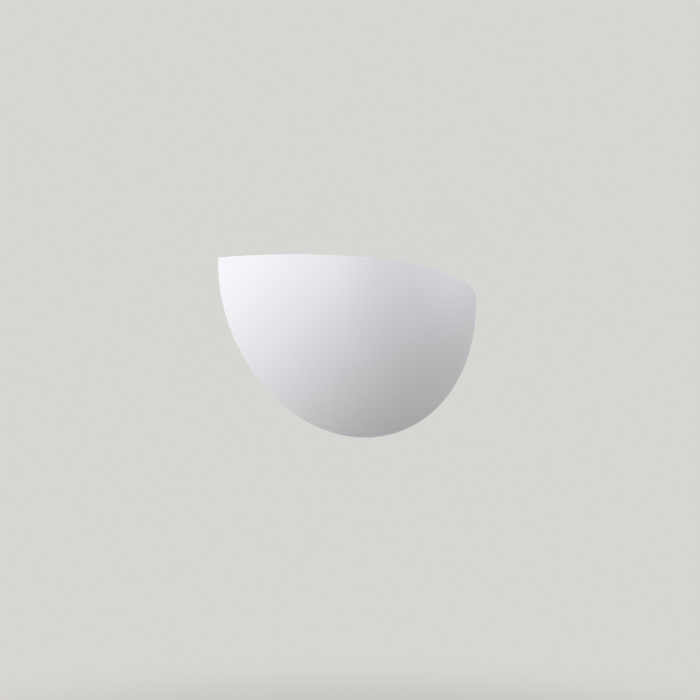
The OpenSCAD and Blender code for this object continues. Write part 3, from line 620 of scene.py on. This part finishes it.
def quartz_shell(name, stations):
    """Half of a round bulb: a ring pulled from station to station along X and squeezed at each, then mirrored."""
    first = stations[0]
    deselect()
    bpy.ops.mesh.primitive_circle_add(vertices=48, radius=first[1] * MM, rotation=(0, math.pi / 2, 0),
                                      location=(0, lamp_y, lamp_z))
    piece = bpy.context.object
    piece.name = name
    settled(piece)
    bpy.ops.object.mode_set(mode="EDIT")
    bpy.ops.mesh.select_all(action="SELECT")
    for before, after in zip(stations, stations[1:]):
        bpy.ops.mesh.extrude_edges_move(TRANSFORM_OT_translate={"value": ((after[0] - before[0]) * MM, 0, 0)})
        bpy.ops.transform.resize(value=(1, after[1] / before[1], after[2] / before[2]),
                                 center_override=(after[0] * MM, lamp_y, lamp_z))
    bpy.ops.mesh.edge_face_add()
    return piece


def lamp_tube():
    """A double-ended quartz tube: round, then pressed flat at each end, with the pip where it was filled."""
    tube = quartz_shell("quartz_tube", TUBE_OUTSIDE)
    for side in (-1, 1):
        pick(tube, lambda co, normal: co.x > PINCH_START and (co.z - lamp_z) * side > PINCH_HALF, "VERT")
        bpy.ops.transform.resize(value=(1, 1, 0), center_override=(0, lamp_y, lamp_z + side * PINCH_HALF))
    bpy.ops.object.mode_set(mode="OBJECT")
    applied(tube, "MIRROR", use_axis=(True, False, False), use_mirror_merge=True, merge_threshold=0.01 * MM)
    outwards(tube)
    bpy.ops.mesh.primitive_uv_sphere_add(segments=24, ring_count=16, radius=PIP_R,
                                         location=(0, lamp_y, lamp_z + TUBE_OUTSIDE[0][2] * MM))
    pip = bpy.context.object
    settled(pip)
    applied(tube, "BOOLEAN", operation="UNION", object=pip, solver="EXACT")
    bpy.data.objects.remove(pip)
    hollow = quartz_shell("hollow", TUBE_INSIDE)
    bpy.ops.object.mode_set(mode="OBJECT")
    applied(hollow, "MIRROR", use_axis=(True, False, False), use_mirror_merge=True, merge_threshold=0.01 * MM)
    outwards(hollow)
    bpy.ops.object.mode_set(mode="EDIT")
    bpy.ops.mesh.select_all(action="SELECT")
    bpy.ops.mesh.flip_normals()
    bpy.ops.object.mode_set(mode="OBJECT")
    tube = joined(tube, hollow)
    smoothed(tube, 50)
    fitted(tube, ["lamp_tube"])


def lamp_filament():
    """The glowing coil with its straight tails, held by three ring supports, and the foils in the pinches."""
    reach, coil_r, wire_r, turns = 34.8 * MM, 0.8 * MM, 0.15 * MM, 116
    tail_r, pin_r, foil_half_w, foil_half_t, foil_edge = 0.3 * MM, 0.15 * MM, 1.4 * MM, 0.12 * MM, 0.05 * MM
    ring_r, ring_wire_r, spoke_r = 3.6 * MM, 0.22 * MM, 0.18 * MM
    axis = Vector((0, lamp_y, lamp_z))
    wound = coil("filament_coil", coil_r - wire_r, wire_r, axis - Vector((reach, 0, 0)), axis + Vector((reach, 0, 0)),
                 turns, 12, 6)
    wound.data.materials.append(FINISHES["tungsten"])
    parts = []
    for side in (-1, 1):
        tail_in, tail_out, pin_in, pin_out = (axis + Vector((side * x * MM, 0, 0)) for x in (34.6, 41.7, 50.6, 56.1))
        parts.append(bar("tail", tail_in, tail_out, tail_r))
        parts.append(bar("pin", pin_in, pin_out, pin_r))
        low, high = sorted((side * 41.6 * MM, side * 50.8 * MM))
        parts.append(block("foil", (low, lamp_y - foil_half_w, lamp_z - foil_half_t),
                           (high, lamp_y + foil_half_w, lamp_z + foil_half_t), foil_edge))
    for x in (-0.6 * reach, 0, 0.6 * reach):
        deselect()
        bpy.ops.mesh.primitive_torus_add(major_radius=ring_r, minor_radius=ring_wire_r, major_segments=48,
                                         minor_segments=10, location=axis + Vector((x, 0, 0)),
                                         rotation=(0, math.pi / 2, 0))
        ring = bpy.context.object
        settled(ring)
        parts.append(ring)
        parts.append(bar("spoke", axis + Vector((x, 0, 0.7 * MM)), axis + Vector((x, 0, ring_r)), spoke_r))
    cold = joined(*parts)
    cold.data.materials.append(molybdenum())
    whole = joined(wound, cold)
    whole.name = "lamp_coil"
    smoothed(whole, 50)
    fitted(whole, ["lamp_filament"])


# ---------------------------------------------------------------- reflector, clips, leads and screws
def reflector():
    """A trough of bright sheet with real bend radii, closed by two cheeks that are slotted for the lamp."""
    sheet_t, bend_r, slot_r, lip_h = 0.8, 1.2, 6, 3
    lip, mouth, flat = 23.8, 18, 8  # half widths across the trough
    out = -lamp_y / MM
    seat = lamp_z / MM + SEAT_ABOVE_LAMP
    knee, floor_z = lamp_z / MM - 6, lamp_z / MM - 17.2
    section = [(out - lip, seat + lip_h), (out - lip, seat), (out - mouth, seat), (out - mouth, knee),
               (out - flat, floor_z), (out + flat, floor_z),
               (out + mouth, knee), (out + mouth, seat), (out + lip, seat), (out + lip, seat + lip_h)]
    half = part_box("reflector")[1].x / MM
    trough = bent_sheet("reflector_trough", section, bend_r, lambda y, z: Vector((-half, -y, z)) * MM,
                        (2 * half * MM, 0, 0), sheet_t * MM, 1)
    slot = [(out - slot_r * math.cos(a), lamp_z / MM - slot_r * math.sin(a))
            for a in (math.pi * i / 24 for i in range(25))]
    cheek = bends(section[2:8], bend_r)
    cheek = cheek + [(out + slot_r, seat)] + slot[::-1] + [(out - slot_r, seat)]
    right = plate("cheek", [Vector((half - sheet_t, -y, z)) * MM for y, z in cheek], (sheet_t * MM, 0, 0))
    left = mirrored(right, "cheek_left")
    piece = joined(trough, right, left)
    rounded(piece, 0.15 * MM, 2, 50)
    smoothed(piece, 45)
    fitted(piece, ["reflector"])


LEAD_R = 1.05 * MM
# the routes of the solids: along the wall from the middle, out from the wall, and up, in mm
LAMP_LEAD = [(10, 5.6, -50.5), (10, 5.6, -54.5), (14, 6, -57.5), (26, 7, -57.5), (42, 7, -50.5), (60, 7, -38),
             (74, 7, -27), (82, 8.5, -18), (84, 13, -15), (84, 20, -15), (85, 27, -11), (91, 34, 4), (95, 40, 18),
             (96, 43, 30), (93, 44, 37), (89.9, 44, 38), (86.9, 44, 38), (83.9, 44, 38), (80.95, 44, 38)]
EARTH_LEAD = [(0, 5.6, -50.5), (0, 5.6, -54.5), (0, 6.2, -56), (0, 6.8, -57.1), (0, 6.8, -59.4), (0, 6.8, -62.6)]


def leads():
    """Heat-proof sleeved wires from the terminals to the lampholders, and the short earth wire."""
    for node, side, points in (("lead_neutral", 1, LAMP_LEAD), ("lead_live", -1, LAMP_LEAD),
                               ("lead_earth", 1, EARTH_LEAD)):
        fitted(cable(node + "_wire", [(side * x, -out, z) for x, out, z in points], LEAD_R), [node])


def contact_spring():
    """The compression spring behind the sprung contact, which shortens as the lamp is pushed in."""
    low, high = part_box("contact_spring")
    wire_r, turns, steps, sides = 0.25 * MM, 5, 32, 10
    radius = (high.y - low.y) / 2 - wire_r
    spring = coil("contact_spring_wire", radius, wire_r, Vector((low.x + wire_r, lamp_y, lamp_z)),
                  Vector((high.x - wire_r, lamp_y, lamp_z)), turns, steps, sides)
    smoothed(spring, 50)
    fitted(spring, ["contact_spring"])
    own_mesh(spring)


def turned(name, profile, steps):
    """A turned piece whose axis is Y: a profile of distances out and radii, spun right round and closed."""
    piece = wire(name, [Vector((radius, -out, 0)) * MM for out, radius in profile])
    bpy.ops.mesh.select_all(action="SELECT")
    bpy.ops.mesh.spin(steps=steps, angle=math.tau, center=(0, 0, 0), axis=(0, 1, 0))
    bpy.ops.object.mode_set(mode="OBJECT")
    outwards(piece)
    return piece


def knurled_head(start, length, radius):
    """A straight-knurled head: a toothed ring pulled out in steps, chamfered at both ends and dished in front."""
    teeth, chamfer, tooth = 28, 0.5, 0.5
    deselect()
    bpy.ops.mesh.primitive_circle_add(vertices=2 * teeth, radius=radius * MM, fill_type="NGON",
                                      rotation=(math.pi / 2, 0, 0), location=(0, -start * MM, 0))
    piece = bpy.context.object
    piece.name = "knurled_head"
    settled(piece)
    bpy.ops.object.mode_set(mode="EDIT")
    pick(piece, lambda co, normal: round(math.atan2(co.z, co.x) * teeth / math.pi) % 2 == 1, "VERT")
    valley = (radius - tooth) / radius
    bpy.ops.transform.resize(value=(valley, 1, valley), center_override=(0, 0, 0))
    bpy.ops.mesh.select_mode(type="FACE")
    bpy.ops.mesh.select_all(action="SELECT")
    narrow = (radius - tooth - 0.1) / radius
    bpy.ops.transform.resize(value=(narrow, 1, narrow), center_override=(0, 0, 0))
    chamfers = [(chamfer, 1 / narrow), (length - 2 * chamfer, 1), (chamfer, narrow)]
    dish = [(0, 0.68), (-0.9, 0.9)]
    for step, size in chamfers + dish:
        bpy.ops.mesh.extrude_region_move(TRANSFORM_OT_translate={"value": (0, -step * MM, 0)})
        bpy.ops.transform.resize(value=(size, 1, size), center_override=(0, 0, 0))
    bpy.ops.object.mode_set(mode="OBJECT")
    outwards(piece)
    return piece


def lock_screws():
    """Nickel-plated thumb screws: knurled head, collar and threaded shank, its thread drawn as close rings."""
    low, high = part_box("lock_screw_right")
    tip, front = -high.y / MM, -low.y / MM
    head_l, collar_l, head_r, shank_r, pitch = 8, 2, 6, 2, 0.7
    root_r, collar_r, lead_in = shank_r - 0.32, head_r - 1, 0.5
    seat = front - head_l - collar_l
    collar_end = seat + collar_l + 0.2  # a little way into the head
    thread = [(tip, 0), (tip, shank_r - 0.6), (tip + lead_in, shank_r - 0.3)]
    for turn in range(int((seat - tip - 1.5) / pitch)):
        at = tip + lead_in + turn * pitch
        thread += [(at + 0.5 * pitch, shank_r), (at + pitch, root_r)]
    collar = [(seat, root_r), (seat, collar_r - 0.3), (seat + 0.3, collar_r), (collar_end, collar_r), (collar_end, 0)]
    screw = turned("thumb_screw", thread + collar, 48)
    screw = joined(screw, knurled_head(seat + collar_l, head_l, head_r))
    screw.location = ((low.x + high.x) / 2, 0, (low.z + high.z) / 2)
    settled(screw)
    smoothed(screw, 25)
    other = mirrored(screw, "thumb_screw_left")
    smoothed(other, 25)
    fitted(screw, ["lock_screw_right"])
    fitted(other, ["lock_screw_left"])


# ---------------------------------------------------------------- pieces that keep their CAD form
def eased(node, width_mm, steps=2):
    """A CAD node as a made piece: its mesh closed up, its flat faces whole and its edges rounded."""
    sharp = 35
    mesh = frame["nodes"][node].data.copy()
    mesh.materials.clear()
    piece = bpy.data.objects.new(node + "_made", mesh)
    bpy.context.scene.collection.objects.link(piece)
    hold(piece)
    bpy.ops.object.mode_set(mode="EDIT")
    bpy.ops.mesh.select_all(action="SELECT")
    bpy.ops.mesh.remove_doubles(threshold=0.002 * MM)
    bpy.ops.mesh.dissolve_limited(angle_limit=math.radians(0.3))
    bpy.ops.object.mode_set(mode="OBJECT")
    rounded(piece, width_mm * MM, steps, sharp)
    smoothed(piece, sharp)
    return fitted(piece, [node])


def glass_cover():
    """The loose protective glass, with ground and eased edges."""
    piece = eased("glass_cover", 0.5, 3)
    piece.data.materials.append(ground_glass())
    hold(piece)
    bpy.ops.object.mode_set(mode="EDIT")
    pick(piece, lambda co, normal: abs(normal.z) < 0.9)
    piece.active_material_index = 1
    bpy.ops.object.material_slot_assign()
    bpy.ops.object.mode_set(mode="OBJECT")


def glass_clips():
    """Spring-steel clips: bent strips that hold the glass in its seat from both ends."""
    strip_t, strip_w, bend_r, strip_out = 0.5, 8, 0.6, 28
    seat, foot, touch = lamp_z / MM + SEAT_ABOVE_LAMP, 54.55, 53.3
    path = [(foot, seat - 22.8), (foot, seat + 0.5), (touch, seat + 1.6), (touch, seat + 3), (touch + 2.4, seat + 7)]
    right = bent_sheet("glass_clip", path, bend_r, lambda x, z: Vector((x, -strip_out, z)) * MM,
                       (0, -strip_w * MM, 0), strip_t * MM, 1)
    rounded(right, 0.1 * MM, 2, 50)
    smoothed(right, 45)
    left = mirrored(right, "glass_clip_other")
    smoothed(left, 45)
    fitted(right, ["glass_clip_right"])
    fitted(left, ["glass_clip_left"])


# how wide each node's edges are rounded, in mm
EASED = {
    "hanger_left": 0.3, "hanger_right": 0.3, "lock_nuts": 0.25,
    "wall_pan": 0.3, "cover_spacers": 0.3, "cover_plate": 0.3, "cover_screws": 0.2, "cable_grommet": 0.5,
    "terminal_block": 0.3, "terminal_tubes": 0.2, "clamp_screws": 0.12, "block_screws": 0.15,
    "earth_screw": 0.2, "earth_tag": 0.12, "lead_bushes": 0.3, "lead_crimps": 0.12,
    "lamp_bracket": 0.3, "bracket_screws": 0.2, "bracket_nuts": 0.25, "reflector_rivets": 0.15,
    "holder_left": 0.5, "holder_right": 0.5, "holder_screws": 0.15,
    "fixed_contact": 0.1, "sprung_contact": 0.1, "spring_seat": 0.1,
    "lamp_caps": 0.4, "lamp_contacts": 0.1, "clip_rivets": 0.15,
}


# ---------------------------------------------------------------- stage, lights and camera
def directly_seen(tree):
    """1 where the camera, metal or glass looks, 0 where light is only gathered."""
    path = add(tree, "LightPath")
    seen = add(tree, "Math", {0: path.outputs["Is Camera Ray"], 1: path.outputs["Is Glossy Ray"]}, operation="MAXIMUM")
    seen = add(tree, "Math", {0: seen.outputs[0], 1: path.outputs["Is Transmission Ray"]}, operation="MAXIMUM")
    return seen.outputs[0]


def stage():
    """A wide pale floor that fades into the world's colour with distance, so no horizon shows."""
    bpy.ops.mesh.primitive_circle_add(vertices=96, radius=FLOOR_R, fill_type="NGON", location=(0, 0, FLOOR_Z))
    floor = bpy.context.object
    floor.name = "floor"
    settled(floor)
    made, shader = surface("pale_floor", BACKGROUND, 0.9)
    tree = made.node_tree
    coords = add(tree, "TexCoord")
    away = add(tree, "VectorMath", {0: coords.outputs["Object"]}, operation="LENGTH")
    fade = add(tree, "MapRange", {"Value": away.outputs["Value"], "From Min": FADE[0], "From Max": FADE[1]},
               interpolation_type="SMOOTHSTEP")
    level = add(tree, "MapRange", {"Value": directly_seen(tree), "To Min": AMBIENT, "To Max": 1.0})
    glow = add(tree, "Emission", {"Color": linear(BACKGROUND), "Strength": level.outputs["Result"]})
    mixed = add(tree, "MixShader", {0: fade.outputs["Result"], 1: shader.outputs[0], 2: glow.outputs[0]})
    tree.links.new(mixed.outputs[0], tree.nodes["Material Output"].inputs["Surface"])
    floor.data.materials.append(made)


def world():
    """A pale surround for the camera, metal and glass, and an even soft light for everything else."""
    made = bpy.data.worlds.new("studio")
    bpy.context.scene.world = made
    made.use_nodes = True
    tree = made.node_tree
    tree.nodes.clear()
    ambient = add(tree, "Background", {"Color": linear("FFFFFF"), "Strength": AMBIENT})
    backdrop = add(tree, "Background", {"Color": linear(BACKGROUND), "Strength": 1.0})
    mixed = add(tree, "MixShader", {0: directly_seen(tree), 1: ambient.outputs[0], 2: backdrop.outputs[0]})
    out = add(tree, "OutputWorld")
    tree.links.new(mixed.outputs[0], out.inputs["Surface"])


def from_angle(azimuth, elevation):
    """The direction from the light towards a place round it, as a turntable gives it."""
    a, e = math.radians(azimuth), math.radians(elevation)
    return Vector((math.sin(a) * math.cos(e), -math.cos(a) * math.cos(e), math.sin(e)))


def softbox(name, azimuth, elevation, level):
    """A square softbox aimed at the shade, bright enough to give a white card facing it that level."""
    reach, size = 1.6, 1.1
    middle = Vector((0, (front_y + back_y) / 2, rim_z - shade_r / 2))
    data = bpy.data.lights.new(name, "AREA")
    data.shape = "SQUARE"
    data.size = size
    data.energy = level * math.pi * math.pi * reach ** 2
    lamp = bpy.data.objects.new(name, data)
    bpy.context.scene.collection.objects.link(lamp)
    way = from_angle(azimuth, elevation)
    lamp.location = middle + way * reach
    lamp.rotation_euler = way.to_track_quat("Z", "Y").to_euler()


def camera():
    """The photograph's viewpoint, found by fitting the shade's outline: left of the light and under it."""
    azimuth, elevation = -34.014, -9.283
    distance, shift_right, shift_up = 0.7396, -0.0109, -0.0661
    focal_px, frame_px = 763.5, 700
    back = from_angle(azimuth, elevation)
    right = (-back).cross(Vector((0, 0, 1))).normalized()
    up = right.cross(-back)
    data = bpy.data.cameras.new("camera")
    data.sensor_width = 36
    data.lens = data.sensor_width * focal_px / frame_px
    made = bpy.data.objects.new("camera", data)
    bpy.context.scene.collection.objects.link(made)
    aimed_at = Vector((0, back_y, rim_z))
    place = aimed_at + back * distance + right * shift_right + up * shift_up
    turn = Matrix((right, up, back)).transposed().to_4x4()
    made.matrix_world = Matrix.Translation(place) @ turn
    bpy.context.scene.camera = made


BACKGROUND = "D8D6D3"
AMBIENT = 0.035
FLOOR_R, FLOOR_Z = 12, -0.75
FADE = (0.8, 2.2)  # metres from the middle, over which the floor turns into the background
# azimuth and elevation in degrees, and level
SOFTBOXES = {"left": (-90, 5, 0.62), "front": (-30, 22, 0.6), "right": (68, 22, 0.46), "above": (0, 85, 0.12),
             "rear": (178, 24, 0.5)}

camera()
shade()
for node, width_mm in EASED.items():
    eased(node, width_mm)
reflector()
glass_cover()
glass_clips()
lamp_tube()
lamp_filament()
leads()
contact_spring()
lock_screws()
for node, thing in frame["nodes"].items():
    thing.data.materials.clear()
    thing.data.materials.append(FINISHES[slot_of[node]])
stage()
world()
for name, (azimuth, elevation, level) in SOFTBOXES.items():
    softbox(name, azimuth, elevation, level)
bpy.context.scene.view_settings.view_transform = "Standard"
